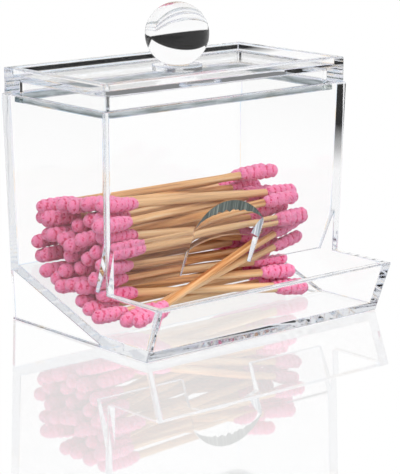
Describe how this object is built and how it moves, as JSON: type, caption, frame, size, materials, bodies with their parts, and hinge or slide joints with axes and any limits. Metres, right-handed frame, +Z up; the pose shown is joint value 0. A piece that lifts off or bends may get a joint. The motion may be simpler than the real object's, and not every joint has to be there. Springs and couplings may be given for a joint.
{
  "type": "cotton swab holder",
  "caption": "Clear plastic cotton swab holder with a sloping floor, an open tray in front, a lift-off lid with a ball knob, and pink cotton swabs in it.",
  "frame": {"origin": "on the ground, below the middle of the whole part", "axes": "+Z up, +X along the width, the tray in front faces -Y"},
  "size_m": [0.095, 0.0715, 0.0951],
  "materials": {
    "clear_plastic": "clear, polished",
    "wood": "plain, unvarnished",
    "cotton": "soft, matt"
  },
  "bodies": {
    "box": {"holder": "clear_plastic", "swab_01": "wood", "swab_02": "wood", "swab_03": "wood", "swab_04": "wood", "swab_05": "wood", "swab_06": "wood", "swab_07": "wood", "swab_08": "wood", "swab_09": "wood", "swab_10": "wood", "swab_11": "wood", "swab_12": "wood", "swab_13": "wood", "swab_14": "wood", "swab_15": "wood", "swab_16": "wood", "swab_17": "wood", "swab_18": "wood", "swab_19": "wood", "swab_20": "wood", "swab_21": "wood", "swab_22": "wood", "swab_23": "wood", "swab_24": "wood", "swab_25": "wood", "swab_26": "wood", "swab_27": "wood", "swab_28": "wood", "swab_29": "wood", "swab_30": "wood", "swab_31": "wood", "swab_32": "wood", "swab_33": "wood", "swab_34": "wood", "swab_35": "wood", "swab_36": "wood", "swab_37": "wood", "swab_38": "wood", "swab_39": "wood", "swab_40": "wood"},
    "lid": {"lid": "clear_plastic", "knob": "clear_plastic"}
  },
  "joints": [
    {"name": "lid_lift", "type": "slide", "parent": "box", "child": "lid", "axis": [0, 0, 1], "range_m": [0, 0.03]}
  ]
}
